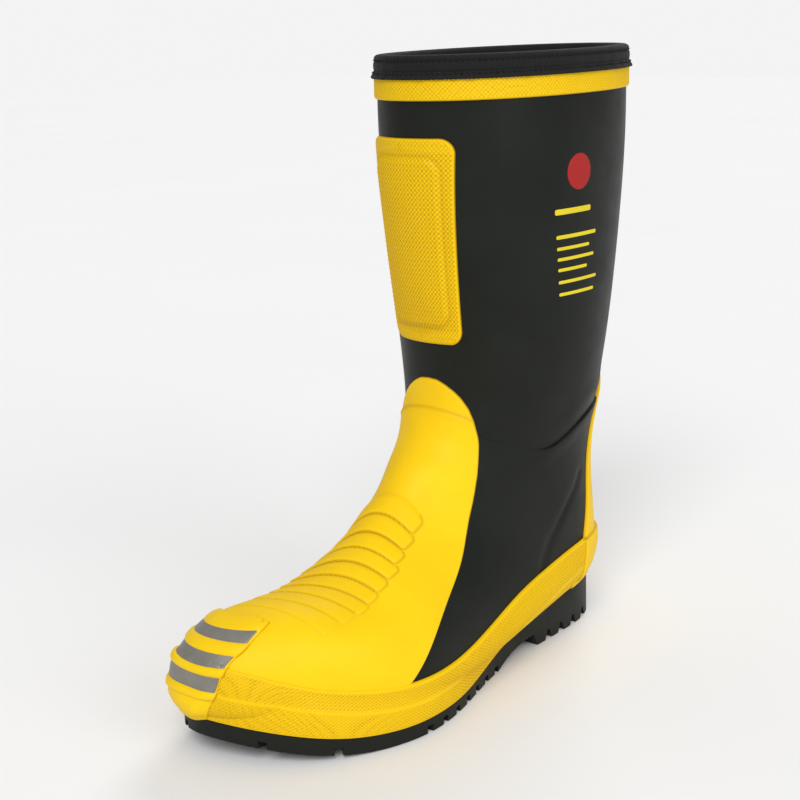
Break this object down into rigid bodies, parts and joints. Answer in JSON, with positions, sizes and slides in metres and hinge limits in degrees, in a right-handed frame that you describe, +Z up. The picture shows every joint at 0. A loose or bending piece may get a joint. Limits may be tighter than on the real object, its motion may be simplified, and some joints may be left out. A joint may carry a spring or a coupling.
{
  "type": "fire boot",
  "caption": "Calf-high black rubber boot for firefighters with a yellow vamp, sole wall, shin pad and collar band, steel toe cap and puncture plate; left foot.",
  "frame": {"origin": "on the ground, under the middle of the boot's bounding box", "axes": "+X towards the toe, +Y towards the wearer's left (the outer side of this left boot), +Z up"},
  "size_m": [0.3312, 0.123, 0.353],
  "materials": {
    "black_rubber": "satin, faint moulding texture",
    "yellow_rubber": "satin, faint moulding texture, darker in the hollows",
    "grey_rubber": "matt",
    "sponge_rubber": "matt, closed cell",
    "reflective_grey": "fine glass-bead surface, dull silver grey",
    "lining_fabric": "fine knit",
    "black_binding": "close woven tape",
    "stitching": "twisted thread",
    "insole_felt": "pressed felt",
    "plate_steel": "rolled stainless sheet",
    "cap_steel": "black primer on steel",
    "fibre_board": "pressed fibre"
  },
  "bodies": {
    "root": {"outsole": "black_rubber", "heel_filler": "sponge_rubber", "midsole": "sponge_rubber", "puncture_plate": "plate_steel", "insole_board": "fibre_board", "insole": "insole_felt", "lining": "lining_fabric", "upper": "black_rubber", "toe_cap": "cap_steel", "toe_cap_edge_strip": "grey_rubber", "heel_counter": "fibre_board", "outer_ply": "black_rubber", "vamp": "yellow_rubber", "foxing": "yellow_rubber", "toe_bumper": "yellow_rubber", "reflective_strip_upper": "reflective_grey", "reflective_strip_middle": "reflective_grey", "reflective_strip_lower": "reflective_grey", "heel_strip": "yellow_rubber", "heel_patch": "yellow_rubber", "shin_pad_cover": "yellow_rubber", "shin_pad_insert": "sponge_rubber", "top_band": "yellow_rubber", "collar_binding": "black_binding", "collar_tape": "black_binding", "collar_stitches_upper": "stitching", "collar_stitches_lower": "stitching"}
  },
  "joints": []
}
